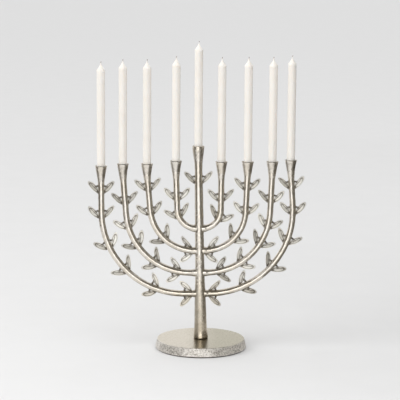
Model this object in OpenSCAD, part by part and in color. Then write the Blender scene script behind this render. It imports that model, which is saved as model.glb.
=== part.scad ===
// Nine-branch menorah: a cast aluminium tree of eight curved arms and a taller
// centre stem, with olive leaves on every branch, standing on a round base. The
// tree leans slightly to the left; its base, its cups and the candles are upright.
// Millimetres. +Z is up, +X is to the right and +Y is to the back. The origin is
// the middle of the face that rests on the table.

/* [Base] */
// Diameter of the round base at its foot
base_d = 128.6; // [120:0.2:150]
// Diameter of the base's flat top
base_top_d = 123.4; // [100:0.2:126]
// Height of the base's top above the table
base_h = 13.5; // [12:0.5:16]
// Thickness of the felt under the base
felt_t = 1.5; // [1:0.25:2.5]

/* [Stem] */
// Lean of the tree to the left, in degrees
tree_lean = 1.16; // [0:0.02:2]
// Radius of the stem's foot
stem_foot_r = 10.2; // [9.6:0.1:12]
// Radius of the stem just above its foot
stem_low_r = 9; // [8.6:0.1:9.5]
// Radius of the stem where the outer arms join it
stem_mid_r = 7.6; // [7.2:0.1:8.2]
// Radius of the stem just above the outer arms
stem_high_r = 6.9; // [6.6:0.1:7.1]
// Radius of the stem between the inner cups
stem_top_r = 5.9; // [5.7:0.1:6.3]
// Radius of the stem just under its cup
stem_neck_r = 5.3; // [5.2:0.1:5.6]
// Height of the centre cup's rim, measured along the stem
centre_rim_h = 288; // [282:1:300]

/* [Arms] */
// Outside diameter of an arm
arm_d = 8.8; // [8:0.2:9.6]
// Height at which each pair of arms leaves the stem, inner to outer
arm_heights = [171, 139.5, 108, 78]; // [76:0.5:173]
// Bend radius of each left arm, inner to outer
bend_left = [27.4, 62.8, 90.6, 116.1]; // [26:0.1:118]
// Bend radius of each right arm, inner to outer
bend_right = [26.1, 57, 90.1, 116.9]; // [26:0.1:118]
// Distance of each left upright from the stem's axis, inner to outer
reach_left = [30.5, 68.5, 102.6, 136.8]; // [30:0.1:140]
// Distance of each right upright from the stem's axis, inner to outer
reach_right = [30.6, 65.3, 99.8, 131.4]; // [30:0.1:140]
// Outward lean of each left upright in degrees, inner to outer
lean_left = [1, 4, 3.2, -0.8]; // [-3:0.1:6]
// Outward lean of each right upright in degrees, inner to outer
lean_right = [1.4, 3.4, 3.3, -2.8]; // [-3:0.1:6]
// Height of each left cup's rim along the stem, inner to outer
rim_left = [267.6, 264, 264.3, 261.7]; // [258:0.1:272]
// Height of each right cup's rim along the stem, inner to outer
rim_right = [265.5, 265.1, 264.8, 266.6]; // [258:0.1:272]

/* [Cups] */
// Outside diameter of a cup at its rim
cup_d = 17; // [16.4:0.2:18]
// Diameter of the bore that holds a candle
socket_d = 11.8; // [11.8:0.02:11.84]
// Depth of a candle's seat below the rim
socket_depth = 8.5; // [6:0.5:9]

/* [Candles] */
// Diameter of a candle
candle_d = 11.6; // [10:0.1:11.7]
// Length of a candle's wax from its foot to its point
candle_l = 152; // [100:1:160]
// Length of a candle's tapered point
candle_tip_l = 9.5; // [6:0.5:15]
// Diameter of a wick
wick_d = 1.4; // [1:0.1:2]
// How far a wick stands out of the wax
wick_out = 2; // [1:0.5:8]

/* [Leaves] */
// Length of a leaf's blade
leaf_l = 22; // [18:0.5:23]
// Width of a leaf's blade
leaf_w = 8.2; // [6:0.2:9]
// Thickness of a leaf's blade
leaf_t = 1.2; // [1:0.1:2]
// Angle between a leaf and the branch that it grows from
leaf_angle = 41; // [36:1:46]
// Leaf pairs of the inner left arm, as distances along it from the stem's axis
inner_left = [34, 60]; // [11:0.5:236]
// Leaf pairs of the second left arm
second_left = [11, 50, 93.5, 128]; // [11:0.5:236]
// Leaf pairs of the third left arm
third_left = [28, 61, 98, 128, 163]; // [11:0.5:236]
// Leaf pairs of the outer left arm
outer_left = [12, 61, 110, 152, 197, 232]; // [11:0.5:236]
// Leaf pairs of the inner right arm
inner_right = [30, 58]; // [11:0.5:236]
// Leaf pairs of the second right arm
second_right = [12, 49, 92, 126]; // [11:0.5:236]
// Leaf pairs of the third right arm
third_right = [24, 57, 95, 123, 160]; // [11:0.5:236]
// Leaf pairs of the outer right arm
outer_right = [12, 58, 107, 150, 193, 229]; // [11:0.5:236]
// How much nearer to the stem the first lower leaf of the second left and right arm is
second_lag = [1.5, 4.5]; // [0:0.5:6]
// How many degrees each leaf pair of the inner arms is turned towards the stem
inner_turn = [10, 2]; // [0:1:12]
// The same for the second arms
second_turn = [3, 6, 1, 0]; // [0:1:12]
// The same for the third arms
third_turn = [2, 5, 0, 0, 0]; // [0:1:12]
// The same for the outer arms
outer_turn = [0, 9, 0, 0, 2, 0]; // [0:1:12]
// Height of the leaf pair on the stem
stem_leaf_h = 235; // [230:1:242]

/* [Fixing] */
// Diameter of the screw that holds the stem to the base
screw_d = 6; // [5:0.5:6]
// How far the screw reaches up into the stem
screw_reach = 18; // [12:1:24]

/* [Hidden] */
$fn = 64;
SLACK = 0.01;

ARMS = ["inner", "second", "third", "outer"];
SIDES = ["left", "right"];
PLACES = [for (side = SIDES) for (arm = ARMS) str(arm, "_", side)];

METAL = [0.74, 0.70, 0.62];
BASE_METAL = [0.78, 0.74, 0.68];
FELT = [0.16, 0.14, 0.12];
STEEL = [0.60, 0.61, 0.63];
IVORY = [0.95, 0.92, 0.85];
COTTON = [0.36, 0.32, 0.27];

// Base and screw
base_edge = 1;
felt_inset = 2.5;
recess_r = 9;
recess_depth = 5;
washer_r = 8;
washer_t = 1.2;
hole_play = 0.3;
screw_head_r = 5;
screw_head_t = 3.2;
hex_key = 4;
recess_top = felt_t + recess_depth;
screw_seat = recess_top - washer_t;

// Stem
foot_lip = 1.8;
foot_sink = 1;
low_h = 11;
top_drop = 64;
neck_drop = 35;
flare_drop = 25;
flare_r = 5.7;
web = 2;
pocket_turn = 20;

// Arms and cups
arm_r = arm_d / 2;
bead = 0.15;
taper_h = 12;
cup_r = cup_d / 2;
cup_h = 14;
cup_waist = 6.6;
cup_neck_r = 5.8;
cup_waist_r = 7.1;
centre_neck_r = 6.95;
centre_waist_r = 7.9;
mouth_h = 4;
mouth_r = cup_r - 1.1;

bends = [bend_left, bend_right];
reaches = [reach_left, reach_right];
leans = [lean_left, lean_right];
rims = [rim_left, rim_right];

// Candles
nib_share = 0.58;
shoulder_share = 0.36;
nib_wall = 0.3;

// Leaves
leaf_runs = [
    [inner_left, second_left, third_left, outer_left],
    [inner_right, second_right, third_right, outer_right]
];
leaf_turns = [inner_turn, second_turn, third_turn, outer_turn];
leaf_bite = 1;
leaf_point = 3;
leaf_edge_r = (pow(leaf_l + leaf_point, 2) + pow(leaf_w, 2)) / (4 * leaf_w);
leaf_twist = 16;
twist_spread = 12;
twist_turn = 137;
twig_lead = 9.5;
twig_r = 0.8;
twig_reach = 0.45;
twig_inset = 1.6;
stem_leaf_r = 4.6;

// A point in the plane of the tree, and the heading of the branch there. Both sides
// of the tree are described as if they were on the right.
function ahead(heading) = [cos(heading), sin(heading)];
function above(heading) = [-sin(heading), cos(heading)];

function bend_r(arm, side) = bends[side][arm];
function spring_h(arm, side) = arm_heights[arm] + bend_r(arm, side);
function stub_l(arm, side) = reaches[side][arm] - bend_r(arm, side);
function sweep(arm, side) = 90 - leans[side][arm];
function bend_l(arm, side) = bend_r(arm, side) * sweep(arm, side) * PI / 180;
function bend_point(arm, side, turn) =
    [stub_l(arm, side), spring_h(arm, side)] - bend_r(arm, side) * above(turn);
function neck_h(arm, side) = rims[side][arm] - cup_h;
function upright_l(arm, side) =
    (neck_h(arm, side) - bend_point(arm, side, sweep(arm, side)).y) / cos(leans[side][arm]);
function neck_point(arm, side) =
    bend_point(arm, side, sweep(arm, side))
    + upright_l(arm, side) * ahead(sweep(arm, side));

// Heading and place of the point at a given distance along an arm
function arm_heading(arm, side, run) =
    let (past = run - stub_l(arm, side))
    past < 0 ? 0 : min(sweep(arm, side), past / bend_r(arm, side) * 180 / PI);
function arm_point(arm, side, run) =
    let (
        past = run - stub_l(arm, side),
        rise = past - bend_l(arm, side),
        turn = sweep(arm, side)
    )
    past < 0 ? [run, arm_heights[arm]]
    : rise < 0 ? bend_point(arm, side, arm_heading(arm, side, run))
    : bend_point(arm, side, turn) + rise * ahead(turn);

// Where a point of the leaning tree stands above the table
function standing(point, side) =
    let (
        out = (2 * side - 1) * point.x,
        rise = point.y - base_h
    )
    [0, base_h] + out * ahead(tree_lean) + rise * above(tree_lean);

function arm_neck(arm, side) = standing(neck_point(arm, side), side);
stem_neck = standing([0, centre_rim_h - cup_h], 1);

// The left side is built on the right and mirrored
module on_side(side) {
    if (side == 0)
        mirror([1, 0, 0]) children();
    else
        children();
}

// One side of the tree, leaning about the middle of the base's top
module in_tree(side) {
    translate([0, 0, base_h])
        rotate([0, -tree_lean, 0])
            translate([0, 0, -base_h])
                on_side(side) children();
}

module at(point) {
    translate([point.x, 0, point.y]) children();
}

// A rod between two points in the plane of the tree
module rod(from, to, r) {
    span = to - from;
    at(from)
        rotate([0, 90 - atan2(span.y, span.x), 0])
            cylinder(h = norm(span), r = r);
}

// Base
module base_plate() {
    color(BASE_METAL)
        difference() {
            rotate_extrude($fn = 128)
                polygon([
                    [0, felt_t],
                    [base_d / 2 - base_edge, felt_t],
                    [base_d / 2, felt_t + base_edge],
                    [base_top_d / 2, base_h - base_edge],
                    [base_top_d / 2 - base_edge, base_h],
                    [0, base_h]
                ]);
            translate([0, 0, felt_t - SLACK]) cylinder(h = recess_depth + SLACK, r = recess_r);
            cylinder(h = base_h + SLACK, r = screw_d / 2 + hole_play);
        }
}

module felt_pad() {
    color(FELT)
        cylinder(h = felt_t, r = base_d / 2 - felt_inset, $fn = 128);
}

module base_washer() {
    color(STEEL)
        translate([0, 0, screw_seat])
            difference() {
                cylinder(h = washer_t, r = washer_r);
                translate([0, 0, -SLACK])
                    cylinder(h = washer_t + 2 * SLACK, r = screw_d / 2 + hole_play);
            }
}

module base_screw() {
    color(STEEL)
        difference() {
            union() {
                translate([0, 0, screw_seat - screw_head_t])
                    cylinder(h = screw_head_t, r = screw_head_r);
                translate([0, 0, screw_seat])
                    cylinder(h = base_h + screw_reach - screw_seat, r = screw_d / 2);
            }
            translate([0, 0, screw_seat - screw_head_t - SLACK])
                cylinder(h = screw_head_t / 2, d = hex_key / cos(30), $fn = 6);
        }
}

// The bore of a cup, with its rim at the origin
module socket() {
    translate([0, 0, -socket_depth])
        cylinder(h = socket_depth + SLACK, d = socket_d);
    translate([0, 0, -mouth_h])
        cylinder(h = mouth_h + SLACK, r1 = socket_d / 2, r2 = mouth_r);
}

// An upright cup, with its neck at the origin. A bead slightly wider than the neck
// covers the joint with the leaning branch below.
module cup(neck_r, waist_r) {
    sphere(r = neck_r + bead);
    rotate_extrude()
        polygon([
            [0, 0],
            [neck_r, 0],
            [waist_r, cup_h - cup_waist],
            [cup_r, cup_h],
            [0, cup_h]
        ]);
}

// The tube of an arm, from inside the stem round its bend as far as a given turn
module tube(arm, side, turn) {
    rod([web, arm_heights[arm]], [stub_l(arm, side), arm_heights[arm]], arm_r);
    at([stub_l(arm, side), spring_h(arm, side)])
        rotate([90, 0, 0])
            rotate([0, 0, -90])
                rotate_extrude(angle = turn, $fn = 96)
                    translate([bend_r(arm, side), 0]) circle(r = arm_r, $fn = 32);
}

// Stem with the centre cup. It is cut flat where it stands on the base, and each
// arm has a pocket in it.
module stem() {
    outer_h = arm_heights[3];
    color(METAL)
        difference() {
            union() {
                in_tree(1)
                    rotate_extrude()
                        polygon([
                            [0, base_h - foot_sink],
                            [stem_foot_r, base_h - foot_sink],
                            [stem_foot_r, base_h + foot_lip],
                            [stem_low_r, base_h + low_h],
                            [stem_mid_r, outer_h + arm_r],
                            [stem_high_r, outer_h + 2 * arm_d],
                            [stem_top_r, centre_rim_h - top_drop],
                            [stem_neck_r, centre_rim_h - neck_drop],
                            [flare_r, centre_rim_h - flare_drop],
                            [centre_neck_r, centre_rim_h - cup_h],
                            [0, centre_rim_h - cup_h]
                        ]);
                at(stem_neck) cup(centre_neck_r, centre_waist_r);
            }
            translate([0, 0, base_h - 2 * foot_sink])
                cylinder(h = 2 * foot_sink, r = 2 * stem_foot_r);
            at(stem_neck + [0, cup_h]) socket();
            translate([0, 0, base_h - SLACK])
                cylinder(h = screw_reach + SLACK, r = screw_d / 2);
            for (side = [0, 1]) for (arm = [0:3])
                in_tree(side) tube(arm, side, pocket_turn);
        }
}

// Arms, each with its root in a pocket of the stem. A bead slightly wider than the
// tube covers the place where the bend meets the straight upright.
module arm(arm, side) {
    turn = sweep(arm, side);
    bend_end = bend_point(arm, side, turn);
    straight = upright_l(arm, side);
    color(METAL)
        difference() {
            union() {
                in_tree(side) {
                    tube(arm, side, turn);
                    at(bend_end) sphere(r = arm_r + bead);
                    at(bend_end)
                        rotate([0, 90 - turn, 0])
                            rotate_extrude()
                                polygon([
                                    [0, 0],
                                    [arm_r, 0],
                                    [arm_r, straight - taper_h],
                                    [cup_neck_r, straight],
                                    [0, straight]
                                ]);
                }
                at(arm_neck(arm, side)) cup(cup_neck_r, cup_waist_r);
            }
            at(arm_neck(arm, side) + [0, cup_h]) socket();
        }
}

// Leaf blade with its foot at the origin and its tip along +X
module blade() {
    middle = leaf_l / 2;
    shift = leaf_edge_r - leaf_w / 2;
    linear_extrude(height = leaf_t, center = true)
        intersection() {
            translate([middle, shift]) circle(r = leaf_edge_r);
            translate([middle, -shift]) circle(r = leaf_edge_r);
            translate([middle, 0]) circle(r = middle);
        }
}

// One leaf: its blade leans away from the branch and a twig props its inner edge.
// "up" is 1 on the inner side of the bend and -1 on the outer side.
module leaf(foot, slant, up, twig_root, twist) {
    prop = foot + twig_reach * leaf_l * ahead(slant) - up * twig_inset * above(slant);
    at(foot) rotate([0, -slant, 0]) rotate([90 + twist, 0, 0]) blade();
    rod(twig_root, prop, twig_r);
}

function twist_of(branch, pair, up) =
    up * leaf_twist + twist_spread * sin(twist_turn * (pair + 2 * branch + up));

// The point on an arm's surface where a leaf or twig grows
function bud(arm, side, run, up) =
    arm_point(arm, side, run) + up * (arm_r - leaf_bite) * above(arm_heading(arm, side, run));

// Leaf pairs of an arm
module arm_leaves(arm, side) {
    runs = leaf_runs[side][arm];
    color(METAL)
        in_tree(side)
            for (pair = [0:len(runs) - 1]) for (up = [-1, 1]) {
                lag = arm == 1 && pair == 0 && up == -1 ? second_lag[side] : 0;
                run = runs[pair] - lag;
                slant = arm_heading(arm, side, run) + up * leaf_angle + leaf_turns[arm][pair];
                twig_root = bud(arm, side, run + twig_lead, up);
                twist = twist_of(arm + side, pair, up);
                leaf(bud(arm, side, run, up), slant, up, twig_root, twist);
            }
}

// Leaf pair of the stem
module stem_leaves() {
    color(METAL)
        in_tree(1)
            for (up = [-1, 1]) {
                foot = [-up * stem_leaf_r, stem_leaf_h];
                leaf(foot, 90 + up * leaf_angle, up, foot + [0, twig_lead], twist_of(4, 0, up));
            }
}

// Candles, which stand upright in their sockets. The point has a steep shoulder and
// then a slender nib round the wick.
module candle(foot) {
    body_l = candle_l - candle_tip_l;
    color(IVORY)
        at(foot)
            rotate_extrude()
                polygon([
                    [wick_d / 2, 0],
                    [candle_d / 2, 0],
                    [candle_d / 2, body_l],
                    [candle_d / 2 * nib_share, body_l + candle_tip_l * shoulder_share],
                    [wick_d / 2 + nib_wall, candle_l],
                    [wick_d / 2, candle_l]
                ]);
}

module wick(foot) {
    color(COTTON)
        at(foot) cylinder(h = candle_l + wick_out, d = wick_d, $fn = 24);
}

function seat(arm, side) = arm_neck(arm, side) + [0, cup_h - socket_depth];
centre_seat = stem_neck + [0, cup_h - socket_depth];

base_plate();
felt_pad();
base_screw();
base_washer();
stem();
stem_leaves();
candle(centre_seat);  // candle_centre
wick(centre_seat);  // wick_centre
for (side = [0, 1]) for (arm = [0:3]) let (place = str(ARMS[arm], "_", SIDES[side])) {
    arm(arm, side);
    arm_leaves(arm, side);
    candle(seat(arm, side));
    wick(seat(arm, side));
}
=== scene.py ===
"""Looks for a nine-branch menorah: a cast aluminium tree with olive leaves, ivory candles and a
round base. The castings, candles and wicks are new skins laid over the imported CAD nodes. The felt,
the screw and its washer are the CAD nodes themselves in new materials. Metres, +Z up."""
import math

import bmesh
import bpy
import numpy as np
from mathutils import Matrix, Vector, noise
from mathutils.bvhtree import BVHTree


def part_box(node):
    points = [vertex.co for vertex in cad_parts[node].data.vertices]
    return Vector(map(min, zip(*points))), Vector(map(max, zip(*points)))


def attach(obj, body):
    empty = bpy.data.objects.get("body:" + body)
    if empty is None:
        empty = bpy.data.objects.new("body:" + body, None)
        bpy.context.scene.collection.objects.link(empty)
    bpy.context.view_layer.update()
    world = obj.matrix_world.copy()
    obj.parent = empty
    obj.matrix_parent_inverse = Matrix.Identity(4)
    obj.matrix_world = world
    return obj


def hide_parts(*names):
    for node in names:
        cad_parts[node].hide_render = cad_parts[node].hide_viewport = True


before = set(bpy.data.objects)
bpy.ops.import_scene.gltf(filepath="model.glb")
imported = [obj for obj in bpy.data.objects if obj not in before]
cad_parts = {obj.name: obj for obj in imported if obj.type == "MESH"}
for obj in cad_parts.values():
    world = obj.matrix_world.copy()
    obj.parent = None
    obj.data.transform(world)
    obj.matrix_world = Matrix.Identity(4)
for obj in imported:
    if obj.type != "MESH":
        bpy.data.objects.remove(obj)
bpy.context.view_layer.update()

MM = 0.001
ARMS = ["inner", "second", "third", "outer"]
PLACES = [f"{arm}_{side}" for side in ("left", "right") for arm in ARMS]

# Height at which the arms' bends end and their uprights begin
SPRING = 197 * MM
# How far out from the stem's axis an arm comes out of the stem
STEM_RADIUS = 6 * MM
# The cups: their rims, the open mouths that lead in, and the seats that hold the candles
RIM_RADIUS = 8.5 * MM
MOUTH_RADIUS = 7.4 * MM
MOUTH_DEPTH = 4 * MM
SEAT_RADIUS = 5.92 * MM
SEAT_DEPTH = 8.5 * MM
# How far below its rim a cup begins to widen
FLARE_LENGTH = 26 * MM
# Length of a candle's pointed end
TIP_LENGTH = 9.5 * MM


# ---------------------------------------------------------------- mesh helpers

def turns(count):
    """Angles an equal step apart, once round a circle."""
    return np.linspace(0, 2 * math.pi, count, endpoint=False)


def skin(rings, loop=False):
    """Vertices and faces of a closed skin through rings that all have the same number of points.
    Its last ring joins its first if it loops. Otherwise its two ends are capped."""
    size = len(rings[0])
    count = len(rings)
    vertices = [point for ring in rings for point in ring]
    faces = []
    for i in range(count if loop else count - 1):
        first, second = i * size, (i + 1) % count * size
        for j in range(size):
            k = (j + 1) % size
            faces.append((first + j, first + k, second + k, second + j))
    if not loop:
        faces.append(tuple(range(size - 1, -1, -1)))
        faces.append(tuple(range((count - 1) * size, count * size)))
    return vertices, faces


def join(parts):
    """One list of vertices, faces and patina values out of several."""
    vertices, faces, patina = [], [], []
    for some_vertices, some_faces, some_patina in parts:
        start = len(vertices)
        vertices.extend(some_vertices)
        faces.extend(tuple(i + start for i in face) for face in some_faces)
        patina.extend(some_patina)
    return vertices, faces, patina


def piece(name, vertices, faces, patina, material, body, nodes):
    """Makes a smooth mesh that rides on a body and stands for CAD nodes. Patina, with painted
    shade and highlight on the cast parts, runs from 0, bright, to 1, dark, at each vertex."""
    mesh = bpy.data.meshes.new(name)
    mesh.from_pydata(vertices, [], faces)
    shape = bmesh.new()
    shape.from_mesh(mesh)
    bmesh.ops.recalc_face_normals(shape, faces=shape.faces)
    shape.to_mesh(mesh)
    shape.free()
    mesh.polygons.foreach_set("use_smooth", [True] * len(mesh.polygons))
    layer = mesh.attributes.new("patina", "FLOAT", "POINT")
    layer.data.foreach_set("value", np.clip(np.array(patina, np.float32), 0, 1))
    mesh.materials.append(material)
    made = bpy.data.objects.new(name, mesh)
    bpy.context.scene.collection.objects.link(made)
    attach(made, body)
    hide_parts(*nodes)


def ripple(point, wave, seed=0.0):
    """Smooth noise from -1 to 1 whose bumps are about one wave across."""
    return noise.noise(Vector(point) / wave + Vector((seed, seed * 0.7, seed * 1.3)))


def bell(value, centre, width):
    """1 at the centre, falling away smoothly on both sides."""
    return math.exp(-(((value - centre) / width) ** 2))


def ramp(value, low, high):
    """0 below low and 1 above high, with a smooth rise between them."""
    share = min(1, max(0, (value - low) / (high - low)))
    return share * share * (3 - 2 * share)


# ------------------------------------------------------- reading the CAD frame

def tree_lean():
    """The turn from upright to the lean of the cast tree, and the point that it leans about."""
    foot = Vector((0, 0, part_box("base_plate")[1].z))
    low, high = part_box("candle_centre")
    seat = Vector(((low.x + high.x) / 2, 0, low.z))
    return foot, Vector((0, 0, 1)).rotation_difference(seat - foot).to_matrix()


def on_stem(height):
    """The point at a height on the stem's leaning axis."""
    return TREE_FOOT + LEAN @ Vector((0, 0, height - TREE_FOOT.z))


TREE_FOOT, LEAN = tree_lean()


def cad_tree(node):
    """A CAD node's surface, ready to cast rays at."""
    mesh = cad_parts[node].data
    return BVHTree.FromPolygons(
        [v.co for v in mesh.vertices], [tuple(p.vertices) for p in mesh.polygons]
    )


def chord(tree, origin, direction, far=0.5):
    """Where a line enters and leaves a closed CAD node."""
    direction = Vector(direction).normalized()
    enters = tree.ray_cast(origin, direction)[0]
    leaves = tree.ray_cast(origin + direction * far, -direction)[0]
    return enters, leaves


def depths_at(tree, points):
    """Half the depth of a CAD node, front to back, at each point of a path, smoothed."""
    ahead = Vector((0, 0.1, 0))
    just_below = Vector((0, 0, 0.1 * MM))
    traced = []
    for point in points:
        enters, leaves = chord(tree, point - just_below - ahead, (0, 1, 0), far=2 * ahead.y)
        traced.append((leaves - enters).length / 2)
    kernel = np.array([1, 2, 3, 4, 3, 2, 1], float)
    padded = np.concatenate([[traced[0]] * 3, traced, 2 * traced[-1] - np.array(traced[-2:-5:-1])])
    return np.convolve(padded, kernel / kernel.sum(), mode="valid")


def smooth_path(points, rounds):
    """A path with its corners softened and its two ends kept."""
    points = [Vector(p) for p in points]
    for _ in range(rounds):
        points = (
            [points[0]]
            + [(a + 2 * b + c) / 4 for a, b, c in zip(points, points[1:], points[2:])]
            + [points[-1]]
        )
    return points


def resample(points, step):
    """Points an equal step apart along a path, and how far along it each one is."""
    spans = [(b - a).length for a, b in zip(points, points[1:])]
    along = np.concatenate([[0], np.cumsum(spans)])
    runs = np.linspace(0, along[-1], max(2, round(along[-1] / step)) + 1)
    coordinates = np.array([list(p) for p in points])
    placed = np.stack([np.interp(runs, along, coordinates[:, k]) for k in range(3)], 1)
    return [Vector(p) for p in placed], list(runs)


def arm_path(place):
    """The centre line of an arm, traced inside its CAD solid from the stem to the rim."""
    tree = cad_tree("arm_" + place)
    low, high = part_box("arm_" + place)
    side = -1 if place.endswith("left") else 1
    outward = LEAN @ Vector((side, 0, 0))
    upward = LEAN @ Vector((0, 0, 1))
    hub = on_stem(SPRING)
    bend = (hub - Vector((hub.x, 0, low.z))).length
    step = 3 * MM
    upright_end = high.z - 14 * MM
    points = []
    angle = step / bend
    while angle < math.pi / 2:
        enters, leaves = chord(tree, hub, outward * math.sin(angle) - upward * math.cos(angle))
        points.append((enters + leaves) / 2)
        angle += step / bend
    height = SPRING
    while True:
        enters, leaves = chord(tree, on_stem(height), outward)
        middle = (enters + leaves) / 2
        if middle.z > upright_end:
            break
        points.append(middle)
        height += step
    seat_low, seat_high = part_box("candle_" + place)
    centre = (seat_low.x + seat_high.x) / 2
    points = [Vector((p.x, 0, p.z)) for p in points]
    points += [Vector((centre, 0, high.z - k * step)) for k in reversed(range(5))]
    return smooth_path(points, 3)


def islands(node):
    """The separate solids of a CAD node, each as a list of triangles of Vectors."""
    shape = bmesh.new()
    shape.from_mesh(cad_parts[node].data)
    bmesh.ops.remove_doubles(shape, verts=shape.verts, dist=0.001 * MM)
    shape.faces.ensure_lookup_table()
    seen = set()
    found = []
    for start in shape.faces:
        if start.index in seen:
            continue
        seen.add(start.index)
        group, queue = [], [start]
        while queue:
            face = queue.pop()
            group.append([v.co.copy() for v in face.verts])
            for edge in face.edges:
                for other in edge.link_faces:
                    if other.index not in seen:
                        seen.add(other.index)
                        queue.append(other)
        found.append(group)
    shape.free()
    return found


def long_axis(flat, centre):
    """The direction in which flat triangles, each given with its area, spread the furthest."""
    spread = np.zeros((3, 3))
    for triangle, area in flat:
        corners = [np.array(p - centre) for p in triangle]
        middle = sum(corners) / 3
        spread += area / 12 * sum(np.outer(c, c) for c in corners)
        spread += area * 3 / 4 * np.outer(middle, middle)
    return Vector(np.linalg.eigh(spread)[1][:, 2]).normalized()


def extent(points, direction):
    """How far points reach along a direction, from end to end."""
    reached = [p.dot(direction) for p in points]
    return max(reached) - min(reached)


def twig_root(points, centre, axis):
    """The middle of a twig's far end, which lies further from its leaf's axis than the rest."""
    end_depth = 0.6 * MM
    off_axis = [((p - centre) - axis * (p - centre).dot(axis)).length for p in points]
    ends = [p for p, off in zip(points, off_axis) if off > max(off_axis) - end_depth]
    return sum(ends, Vector()) / len(ends)


def leaf_frame(triangles, branch):
    """Where a leaf lies: its foot, its axis towards the tip, the way across, its front, its
    length and width, and the root of its twig. Branch is the path that the leaf grows from."""
    areas = [(b - a).cross(c - a) / 2 for a, b, c in triangles]
    front = max(areas, key=lambda area: area.length).normalized()
    if front.y > 0:
        front = -front
    parallel = 0.999
    flat = [
        (t, area.length) for t, area in zip(triangles, areas)
        if abs(area.normalized().dot(front)) > parallel
    ]
    total = sum(area for _, area in flat)
    centre = sum((sum(t, Vector()) * (area / 3) for t, area in flat), Vector()) / total
    axis = long_axis(flat, centre)
    corners = [p - centre for t, _ in flat for p in t]
    length = extent(corners, axis)

    def away(point):
        return min((point - p).length for p in branch)

    if away(centre + axis * length / 2) < away(centre - axis * length / 2):
        axis = -axis
    across = front.cross(axis).normalized()
    points = [p for t in triangles for p in t]
    return dict(foot=centre - axis * length / 2, axis=axis, across=across, front=front,
                length=length, width=extent(corners, across),
                root=twig_root(points, centre, axis))


# -------------------------------------------------------------------- the cups

def cup_inside():
    """Radius and depth of the rings from a cup's outer lip down to the floor of its seat."""
    lip = 0.45 * MM
    return [
        (RIM_RADIUS - 0.1 * MM, 0.2 * MM),
        (RIM_RADIUS - lip, 0.0),
        (MOUTH_RADIUS + 0.15 * MM, 0.05 * MM),
        (MOUTH_RADIUS - 0.1 * MM, 0.5 * MM),
        (SEAT_RADIUS + 0.5 * (MOUTH_RADIUS - SEAT_RADIUS), 2.2 * MM),
        (SEAT_RADIUS + 0.05 * MM, MOUTH_DEPTH),
        (SEAT_RADIUS, MOUTH_DEPTH + 0.8 * MM),
        (SEAT_RADIUS, SEAT_DEPTH - 0.2 * MM),
        (SEAT_RADIUS - 0.5 * MM, SEAT_DEPTH),
        (SEAT_RADIUS * 0.4, SEAT_DEPTH),
    ]


def cup_rings(rim, count):
    """Rings of points down the inside of a cup whose rim is round a point, and their patina."""
    rings, patina = [], []
    for radius, depth in cup_inside():
        rings.append([
            Vector((rim.x + radius * math.cos(t), rim.y + radius * math.sin(t), rim.z - depth))
            for t in turns(count)
        ])
        patina += [0.2 + 0.6 * min(1, depth / MOUTH_DEPTH)] * count
    return rings, patina


def cup_flare(below_rim):
    """0 where a cup begins to widen and 1 at its rim."""
    return max(0, 1 - below_rim / FLARE_LENGTH)


def cup_patina_and_painted_light(below_rim, sideways):
    """Darker down a cup's sides by patina, more on the right by painted shade, with a painted
    highlight under its rim.
    """
    # Painted shade: the right side of a cup is drawn darker.
    right = 0.52 * ramp(sideways, 0.16, 0.62)
    left = 0.30 * ramp(-sideways, 0.40, 0.80)
    # Painted highlight: a band just under the rim is drawn brighter and glossier.
    polish_and_highlight = 0.40 * bell(below_rim, 1.8 * MM, 1.3 * MM)
    return (0.06 + right + left) * ramp(cup_flare(below_rim), 0.1, 0.6) - polish_and_highlight


# ------------------------------------------------------------ the cast surface

def hammered(point):
    """How far the cast surface stands out of its ideal shape: broad, middling and fine dents."""
    broad = 0.16 * MM * ripple(point, 11 * MM)
    middling = 0.16 * MM * ripple(point, 4.2 * MM, 3.1)
    fine = 0.07 * MM * ripple(point, 1.7 * MM, 7.7)
    return broad + middling + fine


def calm(below_rim):
    """How much of the hammering is left: only a little in the last millimetre under a rim."""
    return 1 if below_rim > 1.2 * MM else 0.3


def swelling(point, knots):
    """Extra metal round the feet of leaves and the roots of twigs, and how dark it is there."""
    knot_height = 0.55 * MM
    most_dark = 1.5
    swell, dark = 0.0, 0.0
    for knot, size in knots:
        near = bell((point - knot).length, 0, size)
        swell += near * knot_height
        dark += near * most_dark
    return swell, min(most_dark, dark)


def cast_patina_and_shade(patina_and_painted_shade, bump, knot_dark):
    """Adds to the patina and painted shade: dents and the metal round knots are darker than their
    surroundings, and bumps brighter.
    """
    return patina_and_painted_shade - 1.3 * bump / MM + 0.6 * knot_dark


# -------------------------------------------------------------------- the arms

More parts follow.
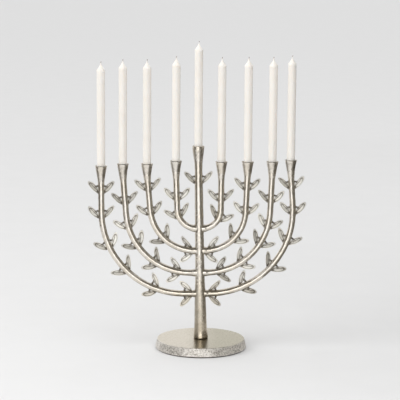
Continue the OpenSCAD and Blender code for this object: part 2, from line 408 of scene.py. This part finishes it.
def make_arm(place, branch, knots, material):
    """One arm along its branch's path from the stem to its rim, and on down inside its cup."""
    sides = 28
    ring_step = 1.1 * MM
    fillet, fillet_length = 0.9 * MM, 2.2 * MM
    level_rim = 6 * MM
    knot_reach = 14 * MM
    path, runs = resample(branch, ring_step)
    radii = depths_at(cad_tree("arm_" + place), path)
    total = runs[-1]
    rings, patina = [], []
    for i, (centre, run) in enumerate(zip(path, runs)):
        below_rim = total - run
        before = path[max(i - 1, 0)]
        after = path[min(i + 1, len(path) - 1)]
        tangent = (after - before).normalized()
        if below_rim < level_rim:
            tangent = Vector((0, 0, 1))
        normal = Vector((0, 1, 0)).cross(tangent).normalized()
        radius = radii[i] + fillet * math.exp(-max(0, run - STEM_RADIUS) / fillet_length)
        near = [knot for knot in knots if (knot[0] - centre).length < knot_reach]
        ring = []
        for t in turns(sides):
            out = normal * math.cos(t) + Vector((0, math.sin(t), 0))
            point = centre + out * radius
            bump = hammered(point)
            swell, dark = swelling(point, near)
            ring.append(point + out * (bump * calm(below_rim) + swell))
            # Painted shade: each arm is drawn darker along its top and darker still underneath.
            above = 0.25 * ramp(out.z, 0.35, 0.8)
            under_shade = 0.55 * ramp(-out.z, 0.45, 0.85)
            patina_and_painted_shade = 0.12 + above + under_shade + cup_patina_and_painted_light(below_rim, out.x)
            patina.append(cast_patina_and_shade(patina_and_painted_shade, bump, dark))
        rings.append(ring)
    inside, inside_patina = cup_rings(path[-1], sides)
    vertices, faces = skin(rings + inside)
    piece("cast_arm_" + place, vertices, faces, patina + inside_patina, material,
          "stand", ["arm_" + place])


# -------------------------------------------------------------------- the stem

def make_stem(knots, material):
    """The stem from its foot to its rim, and on down the inside of the centre cup."""
    sides = 64
    ring_step = 0.9 * MM
    foot_gap, rim_gap = 0.2 * MM, 0.6 * MM
    foot_round = 0.9 * MM
    knot_reach = 6 * MM
    low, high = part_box("stem")
    heights = list(np.arange(low.z + foot_gap, high.z - rim_gap, ring_step))
    cup_x = sum(corner.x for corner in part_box("candle_centre")) / 2
    centres = [on_stem(height) for height in heights]
    centres = [Vector((max(centre.x, cup_x), 0, centre.z)) for centre in centres]
    radii = depths_at(cad_tree("stem"), centres)
    rings, patina = [], []
    for height, centre, radius in zip(heights, centres, radii):
        above_foot = height - low.z
        below_rim = high.z - height
        radius -= foot_round * (1 - ramp(above_foot, 0, foot_round))
        lower = 1 - ramp(height, 60 * MM, 130 * MM)
        # Painted shade: the stem is drawn darker in the crease at its foot.
        foot_shade = 0.5 * bell(above_foot, 0, 1.2 * MM)
        near = [knot for knot in knots if abs(knot[0].z - height) < knot_reach]
        ring = []
        for t in turns(sides):
            out = Vector((math.cos(t), math.sin(t), 0))
            point = centre + out * radius
            bump = hammered(point) * (1 - 0.45 * lower)
            bump += 0.07 * MM * lower * ripple(point, 1.9 * MM, 5.5)
            swell, dark = swelling(point, near)
            ring.append(point + out * (bump * calm(below_rim) + swell))
            # The lower stem is drawn darker down its left side.
            left = 0.35 * lower * ramp(-out.x, 0.2, 0.6)
            patina_and_painted_shade = 0.14 + foot_shade + 0.12 * lower + left + cup_patina_and_painted_light(below_rim, out.x)
            patina.append(cast_patina_and_shade(patina_and_painted_shade, bump, dark))
        rings.append(ring)
    inside, inside_patina = cup_rings(Vector((cup_x, 0, high.z)), sides)
    vertices, faces = skin(rings + inside)
    piece("cast_stem", vertices, faces, patina + inside_patina, material,
          "stand", ["stem"])


# ------------------------------------------------------------------ the leaves

# The rings along a leaf, and where each one's points lie on the leaf's front and back, as shares
# of the way from its midrib to its outline
LEAF_ROWS = 34
FRONT_STATIONS = [1, 0.97, 0.92, 0.86, 0.79, 0.72, 0.64, 0.55, 0.46, 0.37, 0.28, 0.2, 0.13, 0.06]
FRONT_ACROSS = [-v for v in FRONT_STATIONS] + [0] + FRONT_STATIONS[::-1]
BACK_ACROSS = [0.92, 0.7, 0.4, 0.12, 0, -0.12, -0.4, -0.7, -0.92]
# Where a twig meets its leaf, as shares of the leaf's length and width
TWIG_ALONG = 0.44
TWIG_ASIDE = 0.36


def leaf_relief(run, y, edge, half, length, shaded):
    """Height of a blade's front above its middle plane, and how dark it is. Run is the distance
    from the foot, y the distance from the midrib, edge the share of the way to the outline and
    half the blade's half width at its widest. Shaded is the side, 1 or -1, whose groove beside
    the midrib is the deeper one."""
    blade, groove_depth, vein_height = 0.22 * MM, 0.3 * MM, 0.08 * MM
    groove_place = 0.75 * MM
    vein_step, vein_slope = 2.2 * MM, 1.15
    side = abs(y)
    inset = (1 - edge) * half
    to_tip = length - run
    between_ends = ramp(run, 0.2 * MM, 3 * MM) * ramp(to_tip, 0, 3 * MM)
    border = 0.46 * MM * bell(inset, 0.55 * MM, 0.45 * MM)
    lobe = 0.42 * MM * ramp(inset, 0.9 * MM, 1.7 * MM)
    midrib = 0.50 * MM * bell(side, 0, 0.30 * MM) * between_ends
    groove = bell(y, shaded * groove_place, 0.40 * MM)
    groove += 0.35 * bell(y, -shaded * groove_place, 0.30 * MM)
    groove *= between_ends * ramp(inset, 0.6 * MM, 1.2 * MM)
    vein = math.cos(2 * math.pi * (run - vein_slope * side) / vein_step)
    veined = ramp(inset, 0.5 * MM, 1.3 * MM) * ramp(side, 0.5 * MM, 1.1 * MM) * between_ends
    height = blade + max(border, lobe - groove_depth * groove, midrib)
    height += vein_height * vein * veined
    contour = bell(inset, 1.05 * MM, 0.29 * MM) * (0.4 + 0.6 * ramp(to_tip, MM, 5 * MM))
    between_veins = veined * (0.5 - 0.5 * vein)
    outline = 1 - ramp(inset, 0.10 * MM, 0.40 * MM)
    at_foot = 1 - ramp(run, 1.0 * MM, 4.0 * MM)
    dark = 1.35 * groove + 1.15 * contour + 0.22 * between_veins + 0.28 * outline + 0.8 * at_foot
    return height, dark


def twig_end(place):
    """Where a twig meets its leaf, and the side of the midrib, 1 or -1, that it is on."""
    towards = place["root"] - place["foot"]
    side = 1 if towards.dot(place["across"]) > 0 else -1
    end = place["foot"] + place["axis"] * place["length"] * TWIG_ALONG
    return end + place["across"] * side * place["width"] * TWIG_ASIDE, side


def leaf_mesh(place, seed):
    """One leaf laid on its CAD blade. Its seed, -1 to 1, sets its hollow, curl, bow and tone."""
    length, width = place["length"], place["width"]
    curl = (1.1 + 0.9 * seed) * MM
    cup = 0.11 + 0.06 * seed
    bow = 0.35 * MM * seed
    tone = 0.02 + 0.14 * seed
    back_depth, back_edge, back_rib = 0.34 * MM, 0.12 * MM, 0.32 * MM
    joint, shaded = twig_end(place)
    rings, patina = [], []
    for u in 0.5 - 0.5 * np.cos(np.linspace(0.10, math.pi - 0.07, LEAF_ROWS)):
        run = u * length
        from_middle = 2 * u - 1
        half = width / 2 * (4 * u * (1 - u)) ** 0.5 * (1 - 0.16 * (1 - u) ** 2)
        drop = -curl * from_middle ** 2 * (1 if u > 0.5 else 0.35)
        aside = bow * math.sin(math.pi * u)
        centre = place["foot"] + place["axis"] * run + place["across"] * aside
        ring = []
        for v in FRONT_ACROSS:
            y = v * half
            edge = math.sqrt(from_middle ** 2 + v * v * (1 - from_middle ** 2))
            height, dark = leaf_relief(run, y, edge, width / 2, length, shaded)
            height += drop + cup * abs(y) + 0.06 * MM * ripple(centre + Vector((0, y, 0)), 2 * MM)
            point = centre + place["across"] * y
            dark += 0.9 * bell((point - joint).length, 0, 1.7 * MM)
            ring.append(point + place["front"] * height)
            patina.append(tone + dark)
        for v in BACK_ACROSS:
            y = v * half * 1.01
            height = drop + cup * abs(y) - back_depth * (1 - v * v) - back_edge
            height -= back_rib * bell(abs(y), 0, 0.45 * MM)
            ring.append(centre + place["across"] * y + place["front"] * height)
            patina.append(0.35 + 0.5 * bell(abs(v), 0.14, 0.08) + 0.4 * ramp(abs(v), 0.8, 1))
        rings.append(ring)
    vertices, faces = skin(rings)
    return vertices, faces, patina


def twig_mesh(place):
    """The short twig that props a leaf's inner edge from its branch, thickest at its root."""
    sides, ring_count = 10, 9
    root_radius, end_radius, root_spread = 1.45 * MM, 1.10 * MM, 0.6 * MM
    start = place["root"]
    end = twig_end(place)[0]
    along = (end - start).normalized()
    first = along.cross(Vector((0, 1, 0))).normalized()
    second = along.cross(first)
    bow = place["axis"] * 0.5 * MM
    rings, patina = [], []
    for s in np.linspace(0, 1, ring_count):
        centre = start.lerp(end, s) + bow * math.sin(math.pi * s)
        radius = root_radius + (end_radius - root_radius) * s
        radius += root_spread * (1 - ramp(s, 0, 0.35))
        ring = []
        for t in turns(sides):
            out = first * math.cos(t) + second * math.sin(t)
            uneven = 1 + 0.12 * ripple(centre + out * MM, 1.2 * MM)
            ring.append(centre + out * radius * uneven)
            patina.append(1.0 - 0.25 * s)
        rings.append(ring)
    vertices, faces = skin(rings)
    return vertices, faces, patina


def make_leaves(node, places, material):
    """All the leaves and twigs of one branch, as one piece."""
    parts = []
    for place in places:
        seed = 2 * ripple(place["foot"], 9 * MM, 2.0)
        parts.append(leaf_mesh(place, max(-1, min(1, seed))))
        parts.append(twig_mesh(place))
    vertices, faces, patina = join(parts)
    piece("cast_" + node, vertices, faces, patina, material, "stand", [node])


# -------------------------------------------------------------------- the base

# The kinds of ring on the base, by how much of a wall each one is
TOP, ROUND, WALL = 0, 0.35, 1


def base_profile(low, high, foot_radius, top_radius):
    """Radius, height and kind of each ring of the base, from the screw's hole out across the
    top, down the wall, in under the foot and up into the screw's recess."""
    hole, recess, under_stem = 3.3 * MM, 9 * MM, 6 * MM
    recess_top = low + 5 * MM
    round_over = 0.9 * MM
    wall_top = high - round_over
    wall_foot = low + round_over
    profile = [(hole, high, TOP)]
    profile += [(r, high, TOP) for r in np.linspace(under_stem, top_radius - round_over, 40)]
    for t in np.linspace(0.2, math.pi / 2, 5):
        profile.append((top_radius - round_over * (1 - math.sin(t)),
                        high - round_over * (1 - math.cos(t)), ROUND))
    for s in np.linspace(0.06, 1, 14):
        profile.append((top_radius + (foot_radius - top_radius) * s ** 0.8,
                        wall_top + (wall_foot - wall_top) * s, WALL))
    for t in np.linspace(0.3, math.pi / 2, 4):
        profile.append((foot_radius - round_over * (1 - math.cos(t)),
                        wall_foot - round_over * math.sin(t), WALL))
    profile += [(r, low, WALL) for r in (foot_radius - 3 * MM, 40 * MM, 20 * MM, recess)]
    profile += [(recess, recess_top, WALL), (hole, recess_top, WALL)]
    return profile


def make_base(material):
    """The base plate: a gently uneven top and a wall as rough as the sand that it was cast in."""
    low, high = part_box("base_plate")
    sides = 240
    foot_radius = high.x
    top_radius = foot_radius - 2.5 * MM
    profile = base_profile(low.z, high.z, foot_radius, top_radius)
    rings, patina = [], []
    for t in turns(sides):
        out = Vector((math.cos(t), math.sin(t), 0))
        ring = []
        for radius, height, kind in profile:
            point = out * radius + Vector((0, 0, height))
            if kind == WALL and radius > top_radius - MM:
                rough = 0.30 * MM * ripple(point, 3.4 * MM) + 0.20 * MM * ripple(point, 1.5 * MM, 4)
                rough += 0.25 * MM * ripple(point, 9 * MM, 8)
                point += out * (rough - 0.3 * MM)
                patina.append(0.64 - 0.6 * rough / MM)
            else:
                point.z += 0.035 * MM * ripple(point, 14 * MM) * (1 - kind)
                patina.append(0.0 if kind == TOP else 0.3)
            ring.append(point)
        rings.append(ring)
    vertices, faces = skin(rings, loop=True)
    piece("cast_base", vertices, faces, patina, material, "stand", ["base_plate"])


# ----------------------------------------------------------------- the candles

def candle_profile(body, length):
    """Radius and height of each ring of a candle, from its foot up to its point."""
    tip_foot = length - TIP_LENGTH
    profile = [(0.7 * MM, 0), (body - 0.6 * MM, 0), (body - 0.1 * MM, 0.3 * MM), (body, MM)]
    profile += [(body, height) for height in np.linspace(3 * MM, tip_foot, 46)]
    for s in np.linspace(0.06, 1, 16):
        shoulder = 0.13 + 0.87 * (1 - ramp(s, -0.25, 0.82)) ** 0.85
        profile.append((body * shoulder, tip_foot + s * TIP_LENGTH))
    return profile


def make_wax(place, foot, body, length, material):
    """A candle's wax, which waves a little above its seat."""
    sides = 48
    phase = 40 * foot.x
    rings, patina = [], []
    for radius, height in candle_profile(body, length):
        above_seat = ramp(height, 9 * MM, 14 * MM)
        ring = []
        for t in turns(sides):
            out = Vector((math.cos(t), math.sin(t), 0))
            point = foot + out * radius + Vector((0, 0, height))
            wave = 0.03 * MM * ripple(point, 26 * MM, phase) * above_seat
            ring.append(point + out * wave * min(1, radius / body))
            patina.append(0.0)
        rings.append(ring)
    vertices, faces = skin(rings)
    piece("wax_candle_" + place, vertices, faces, patina, material,
          "candle_" + place, ["candle_" + place])


def make_wick(place, foot, reach, material):
    """A wick from near the candle's foot to its free end, where its three strands show."""
    sides, strands, strand_turn = 18, 3, 2.4 * MM
    bend = Vector((0.25 * MM, -0.1 * MM, 0))
    rings, patina = [], []
    heights = [MM, reach * 0.5] + list(np.linspace(reach - 7 * MM, reach, 22))
    for height in heights:
        out_of_wax = ramp(height, reach - 3.2 * MM, reach - 2 * MM)
        rounded = 1 - 0.45 * ramp(height, reach - 0.5 * MM, reach)
        radius = (0.62 - 0.12 * out_of_wax) * MM * rounded
        centre = foot + bend * ramp(height, reach - 3 * MM, reach) + Vector((0, 0, height))
        ring = []
        for t in turns(sides):
            out = Vector((math.cos(t), math.sin(t), 0))
            twist = strands * t + 2 * math.pi * height / strand_turn
            ring.append(centre + out * radius * (1 + 0.13 * math.cos(twist) * out_of_wax))
            patina.append(out_of_wax)
        rings.append(ring)
    vertices, faces = skin(rings)
    piece("cotton_wick_" + place, vertices, faces, patina, material,
          "candle_" + place, ["wick_" + place])


def make_candle(place, wax, cotton):
    """A candle and the wick that rides with it."""
    low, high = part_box("candle_" + place)
    wick_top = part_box("wick_" + place)[1].z
    foot = Vector(((low.x + high.x) / 2, 0, low.z))
    body = (high.x - low.x) / 2 - 0.03 * MM
    make_wax(place, foot, body, high.z - low.z, wax)
    make_wick(place, foot, wick_top - low.z, cotton)


# --------------------------------------------------------------- the materials

class Shader:
    """Builds a Principled material from nodes placed by short calls."""

    def __init__(self, name):
        self.material = bpy.data.materials.new(name)
        self.material.use_nodes = True
        self.tree = self.material.node_tree
        self.surface = self.tree.nodes["Principled BSDF"]
        self.place = self.add("ShaderNodeTexCoord").outputs["Object"]

    def add(self, kind):
        """A new node of a kind."""
        return self.tree.nodes.new(kind)

    def link(self, source, target):
        """Joins an output to an input."""
        self.tree.links.new(source, target)

    def fixed(self, **values):
        """Sets inputs that are the same all over the surface."""
        for name, value in values.items():
            self.surface.inputs[name.replace("_", " ")].default_value = value

    def noise(self, wave, detail=3, roughness=0.55):
        """Noise from 0 to 1 whose bumps are about one wave across."""
        node = self.add("ShaderNodeTexNoise")
        node.inputs["Scale"].default_value = 1 / wave
        node.inputs["Detail"].default_value = detail
        node.inputs["Roughness"].default_value = roughness
        self.link(self.place, node.inputs["Vector"])
        return node.outputs["Fac"]

    def cells(self, wave):
        """Distance, from 0, to the nearest of scattered points about one wave apart."""
        node = self.add("ShaderNodeTexVoronoi")
        node.inputs["Scale"].default_value = 1 / wave
        self.link(self.place, node.inputs["Vector"])
        return node.outputs["Distance"]

    def along(self, axis):
        """The place along an axis, in metres."""
        node = self.add("ShaderNodeSeparateXYZ")
        self.link(self.place, node.inputs[0])
        return node.outputs[axis]

    def attribute(self, name):
        """A value that the mesh holds at its vertices."""
        node = self.add("ShaderNodeAttribute")
        node.attribute_name = name
        return node.outputs["Fac"]

    def spread(self, value, low, high, to_low=0.0, to_high=1.0):
        """A value from low to high laid out from to_low to to_high, and held there outside."""
        node = self.add("ShaderNodeMapRange")
        node.inputs["From Min"].default_value = low
        node.inputs["From Max"].default_value = high
        node.inputs["To Min"].default_value = to_low
        node.inputs["To Max"].default_value = to_high
        self.link(value, node.inputs["Value"])
        return node.outputs["Result"]

    def combine(self, first, second, operation="ADD"):
        """The sum of two values, held between 0 and 1, or the result of another operation."""
        node = self.add("ShaderNodeMath")
        node.operation = operation
        node.use_clamp = operation == "ADD"
        self.link(first, node.inputs[0])
        self.link(second, node.inputs[1])
        return node.outputs[0]

    def mix(self, share, first, second):
        """Two colours mixed by a share. Each is a colour or another node's output."""
        node = self.add("ShaderNodeMix")
        node.data_type = "RGBA"
        self.link(share, node.inputs["Factor"])
        for socket, value in ((node.inputs[6], first), (node.inputs[7], second)):
            if isinstance(value, tuple):
                socket.default_value = (*value, 1)
            else:
                self.link(value, socket)
        return node.outputs[2]

    def towards(self, share, start, end):
        """Another node's value, start, moved by a share towards the number end."""
        node = self.add("ShaderNodeMix")
        self.link(share, node.inputs["Factor"])
        self.link(start, node.inputs[2])
        node.inputs[3].default_value = end
        return node.outputs[0]

    def bump(self, height, depth, strength=1.0):
        """Fine relief that is too small for the mesh."""
        node = self.add("ShaderNodeBump")
        node.inputs["Distance"].default_value = depth
        node.inputs["Strength"].default_value = strength
        self.link(height, node.inputs["Height"])
        self.link(node.outputs["Normal"], self.surface.inputs["Normal"])

    def drive(self, name, value):
        """Lets another node's output set one of the surface's inputs."""
        self.link(value, self.surface.inputs[name])


def cast_metal(name, bright, warm, dark, dark_pull, low_gloss=0.22, high_gloss=0.42,
               speckles=0.40, metallic=1.0):
    """Antiqued cast aluminium: its tint drifts between two metals and is warmest near the base,
    and its pits and hollows hold dark patina. Painted shade and highlights carried by the meshes show
    too."""
    shader = Shader(name)
    base_tint = (0.74, 0.63, 0.46)
    pit_size = 1.2 * MM
    tint = shader.mix(shader.spread(shader.noise(16 * MM), 0.38, 0.62), bright, warm)
    near_base = shader.spread(shader.along("Z"), 110 * MM, 20 * MM, 0, 0.7)
    tint = shader.mix(near_base, tint, base_tint)
    grit = shader.noise(1.5 * MM, detail=5, roughness=0.7)
    speckle = shader.spread(grit, 0.54, 0.74, 0, speckles)
    pits = shader.spread(shader.cells(pit_size), 0.0, 0.28, speckles / 2, 0.0)
    # Darkening from the mesh values: patina, with painted shade and highlight on the cast parts.
    held = shader.spread(shader.attribute("patina"), 0.12, 1.0, 0.0, dark_pull)
    share = shader.combine(shader.combine(held, speckle), pits)
    shader.drive("Base Color", shader.mix(share, tint, dark))
    shader.drive("Roughness", shader.spread(share, 0, 1, low_gloss, high_gloss))
    grain = shader.combine(
        shader.spread(shader.noise(0.9 * MM, detail=4), 0.3, 0.7, 0, 0.55),
        shader.spread(shader.cells(pit_size), 0, 0.4, 0, 0.45),
    )
    shader.bump(grain, 0.06 * MM, 0.6)
    shader.fixed(Metallic=metallic)
    return shader.material


def base_metal():
    """The base's softly polished top, with a painted reflection that darkens it to the right, and its
    rough, speckled wall.
    """
    shader = Shader("base_metal")
    top_reflection_light, top_reflection_dark = (0.61, 0.555, 0.455), (0.39, 0.355, 0.255)
    light_wall, dark_wall, deep_wall = (1.0, 0.965, 0.91), (0.25, 0.215, 0.17), (0.25, 0.225, 0.19)
    wall = shader.spread(shader.attribute("patina"), 0.05, 0.35)
    # Painted reflection: the top is drawn darker from left to right.
    across = shader.spread(shader.along("X"), -24 * MM, 24 * MM)
    drift = shader.spread(shader.noise(26 * MM), 0.3, 0.7, -0.12, 0.12)
    top = shader.mix(shader.combine(across, drift), top_reflection_light, top_reflection_dark)
    spots = shader.spread(shader.noise(2.0 * MM, detail=6, roughness=0.85), 0.49, 0.60)
    edge = shader.mix(spots, light_wall, dark_wall)
    held = shader.spread(shader.attribute("patina"), 0.55, 1.0, 0, 0.5)
    edge = shader.mix(held, edge, deep_wall)
    shader.drive("Base Color", shader.mix(wall, top, edge))
    polish = shader.spread(shader.noise(2.2 * MM, detail=4), 0.3, 0.7, 0.24, 0.34)
    shader.drive("Roughness", shader.towards(wall, polish, 0.52))
    grain = shader.combine(shader.noise(0.8 * MM, detail=5, roughness=0.7), wall, "MULTIPLY")
    shader.bump(grain, 0.25 * MM, 0.9)
    shader.drive("Metallic", shader.spread(wall, 0, 1, 1.0, 0.93))
    return shader.material


def wax_material():
    """Ivory wax, a little uneven in tone and gloss."""
    shader = Shader("ivory_wax")
    drift = shader.spread(shader.noise(22 * MM), 0.35, 0.65)
    colour = shader.mix(drift, (0.775, 0.745, 0.70), (0.76, 0.725, 0.675))
    cloud = shader.spread(shader.noise(3 * MM, detail=5), 0.45, 0.75, 0, 0.35)
    shader.drive("Base Color", shader.mix(cloud, colour, (0.785, 0.755, 0.71)))
    shader.drive("Roughness", shader.spread(shader.noise(6 * MM), 0.3, 0.7, 0.34, 0.5))
    shader.bump(shader.noise(2.5 * MM, detail=4), 0.05 * MM, 0.6)
    shader.fixed(Subsurface_Weight=0.25, Subsurface_Scale=0.003, IOR=1.44)
    shader.fixed(Subsurface_Radius=(1.0, 0.85, 0.7))
    return shader.material


def cotton_material():
    """Cotton that is pale inside the wax and grey where its patina says that it stands out."""
    shader = Shader("cotton_wick")
    bare = shader.spread(shader.attribute("patina"), 0.1, 0.9)
    fibre = shader.spread(shader.noise(0.25 * MM, detail=3), 0.3, 0.7)
    grey = shader.mix(fibre, (0.24, 0.215, 0.19), (0.36, 0.33, 0.29))
    shader.drive("Base Color", shader.mix(bare, (0.85, 0.80, 0.70), grey))
    shader.drive("Roughness", shader.spread(fibre, 0, 1, 0.7, 0.95))
    shader.bump(fibre, 0.06 * MM, 0.8)
    return shader.material


def felt_material():
    """Near-black wool felt, a little fluffy."""
    shader = Shader("felt")
    fibre = shader.spread(shader.noise(0.5 * MM, detail=6, roughness=0.8), 0.3, 0.7)
    drift = shader.spread(shader.noise(12 * MM), 0.35, 0.65)
    near = shader.mix(fibre, (0.045, 0.038, 0.032), (0.10, 0.088, 0.075))
    shader.drive("Base Color", shader.mix(drift, near, (0.07, 0.06, 0.05)))
    shader.drive("Roughness", shader.spread(fibre, 0, 1, 0.85, 1.0))
    shader.bump(fibre, 0.2 * MM, 0.8)
    shader.fixed(Sheen_Weight=0.3)
    return shader.material


def steel_material():
    """Zinc plate, with its frosted crystals."""
    shader = Shader("zinc_steel")
    frost = shader.spread(shader.cells(1.8 * MM), 0, 0.6)
    shader.drive("Base Color", shader.mix(frost, (0.52, 0.53, 0.55), (0.66, 0.67, 0.69)))
    shader.drive("Roughness", shader.spread(shader.noise(0.7 * MM), 0.3, 0.7, 0.28, 0.42))
    shader.bump(shader.noise(0.4 * MM), 0.02 * MM, 0.5)
    shader.fixed(Metallic=1.0)
    return shader.material


# ------------------------------------------------------------------ the studio

def paper_material(name, colour):
    """Matt paper or cloth whose tone varies very slightly."""
    shader = Shader(name)
    grain = shader.spread(shader.noise(60 * MM, detail=2), 0.3, 0.7)
    pale = tuple(c * 0.985 for c in colour)
    shader.drive("Base Color", shader.mix(grain, colour, pale))
    shader.fixed(Roughness=0.9, Specular_IOR_Level=0.2)
    return shader.material


def stage_card(name, corners, material):
    """A flat card that belongs to the studio and not to the object."""
    mesh = bpy.data.meshes.new(name)
    mesh.from_pydata(corners, [], [tuple(range(len(corners)))])
    mesh.materials.append(material)
    card = bpy.data.objects.new(name, mesh)
    bpy.context.scene.collection.objects.link(card)
    return card


def area_light(name, place, target, size, power, colour=(1, 1, 1)):
    """A soft light, of a size in metres and a power in watts, that faces a target."""
    light = bpy.data.lights.new(name, "AREA")
    light.shape = "RECTANGLE"
    light.size, light.size_y = size
    light.energy = power
    light.color = colour
    made = bpy.data.objects.new(name, light)
    bpy.context.scene.collection.objects.link(made)
    made.location = place
    made.rotation_euler = (Vector(target) - Vector(place)).to_track_quat("-Z", "Y").to_euler()
    return made


def make_camera():
    """The photographer stood 2.2 m away, a little above the candles, with a long lens."""
    place = Vector((-0.0024, -2.212, 0.5619))
    pitch, roll = math.radians(9.0), math.radians(0.40)
    data = bpy.data.cameras.new("camera")
    data.lens = 144
    data.sensor_width = 36
    data.clip_end = 100
    camera = bpy.data.objects.new("camera", data)
    bpy.context.scene.collection.objects.link(camera)
    camera.matrix_world = (
        Matrix.Translation(place)
        @ Matrix.Rotation(math.pi / 2 - pitch, 4, "X")
        @ Matrix.Rotation(roll, 4, "Z")
    )
    bpy.context.scene.camera = camera


def level_card(left, right, front, back, height):
    """The corners of a card that lies level."""
    return [(left, front, height), (right, front, height), (right, back, height), (left, back, height)]


def wall_card(start, end, foot, top):
    """The corners of an upright card that runs from one point on the floor's plan to another."""
    return [(*start, foot), (*end, foot), (*end, top), (*start, top)]


def make_flag(name, corners, cloth):
    """A card that only reflections see, as the darker parts of a studio are."""
    flag = stage_card(name, corners, cloth)
    flag.visible_camera = False
    flag.visible_diffuse = False
    flag.visible_shadow = False


def make_flags():
    """Grey cards for the tubes to reflect, all round one bright opening in front of the tree and
    to its left."""
    cloth = paper_material("flag_cloth", (0.17, 0.16, 0.14))
    left, opening_end, right = -0.62, 0.26, 0.50
    front, bend, canopy_front = -0.76, -0.42, -0.85
    low_top, side_top, canopy = 0.62, 0.70, 0.95
    make_flag("flag_left", wall_card((left, front), (left, 0.26), 0.0, low_top), cloth)
    make_flag("flag_right", wall_card((right, bend), (right, 2.5), 0.0, side_top), cloth)
    make_flag("flag_front", wall_card((opening_end, front), (right, bend), 0.0, side_top), cloth)
    make_flag("flag_below", level_card(0.15, right, -0.30, 0.35, 0.004), cloth)
    make_flag("flag_above", level_card(-0.6, 0.6, canopy_front, 0.20, canopy), cloth)
    make_flag("flag_top", wall_card((-0.6, canopy_front), (0.6, canopy_front), 0.52, canopy), cloth)


def make_shade():
    """A dark card that keeps light from the right off the tree, unseen by the camera."""
    cloth = paper_material("shade_cloth", (0.03, 0.028, 0.025))
    shade = stage_card("shade_right", wall_card((0.75, -0.6), (0.75, 0.6), 0.24, 0.95), cloth)
    shade.visible_camera = False


def make_room():
    """Even, pale light from all round."""
    world = bpy.data.worlds.new("soft_room")
    world.use_nodes = True
    room = world.node_tree.nodes["Background"].inputs
    room["Color"].default_value = (0.80, 0.80, 0.80, 1)
    room["Strength"].default_value = 1.30
    bpy.context.scene.world = world


def make_lights():
    """The main light comes from the left, with weaker ones above and in front. Two low ones close
    to the base light its wall."""
    base_light_height = 0.125
    key = area_light("key", (-4.0, -1.4, 2.6), (0, 0, 0.2), (2.4, 2.4), 58, (1, 0.99, 0.98))
    overhead = area_light("overhead", (0.10, -0.35, 1.35), (0.10, -0.35, 0), (1.0, 1.0), 4.2)
    key.visible_glossy = overhead.visible_glossy = False
    area_light("front", (-0.15, -2.7, 1.15), (0, 0, 0.2), (1.1, 1.1), 4, (1, 0.98, 0.95))
    wide = area_light("front_wide", (-0.18, -0.75, base_light_height),
                      (-0.18, 0, base_light_height), (0.88, 0.25), 0.26)
    strip = area_light("front_strip", (-0.03, -0.70, base_light_height),
                       (-0.03, 0, base_light_height), (0.3, 0.25), 0.11)
    wide.visible_camera = strip.visible_camera = False


def make_studio():
    """A plain pale floor under soft light."""
    floor_end = 45
    paper = paper_material("floor_paper", (0.70, 0.70, 0.70))
    stage_card("floor", level_card(-floor_end, floor_end, -floor_end, floor_end, 0), paper)
    make_flags()
    make_shade()
    make_room()
    make_lights()
    bpy.context.scene.view_settings.view_transform = "Standard"


# ------------------------------------------------------------------- assembly

make_camera()
make_studio()

arm_metal = cast_metal("cast_metal", (0.79, 0.745, 0.68), (0.765, 0.705, 0.61),
                       (0.13, 0.11, 0.08), 0.9)
leaf_metal = cast_metal("leaf_metal", (0.97, 0.95, 0.89), (0.94, 0.905, 0.82),
                        (0.10, 0.08, 0.055), 0.95, low_gloss=0.40, high_gloss=0.52,
                        speckles=0.2, metallic=0.75)

# The path that each node's leaves grow from, where each of its leaves lies, and the knots of
# metal that its leaves and twigs leave on the branch
branches = {place: arm_path(place) for place in PLACES}
growth = {"leaves_" + place: branches[place] for place in PLACES}
growth["stem_leaves"] = [on_stem(height) for height in np.linspace(200 * MM, 287 * MM, 30)]
leaves = {
    node: [leaf_frame(solid, line) for solid in islands(node)] for node, line in growth.items()
}
ROOT_KNOT, FOOT_KNOT = 1.9 * MM, 1.6 * MM
knots = {
    node: [(place["root"], ROOT_KNOT) for place in places]
    + [(place["foot"] + place["axis"] * MM, FOOT_KNOT) for place in places]
    for node, places in leaves.items()
}

for place in PLACES:
    make_arm(place, branches[place], knots["leaves_" + place], arm_metal)
make_stem(knots["stem_leaves"], arm_metal)
for node, places in leaves.items():
    make_leaves(node, places, leaf_metal)
make_base(base_metal())
wax, cotton = wax_material(), cotton_material()
for place in ["centre"] + PLACES:
    make_candle(place, wax, cotton)
for node, material in (("felt_pad", felt_material()), ("base_screw", steel_material()),
                       ("base_washer", steel_material())):
    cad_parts[node].data.materials.clear()
    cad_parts[node].data.materials.append(material)
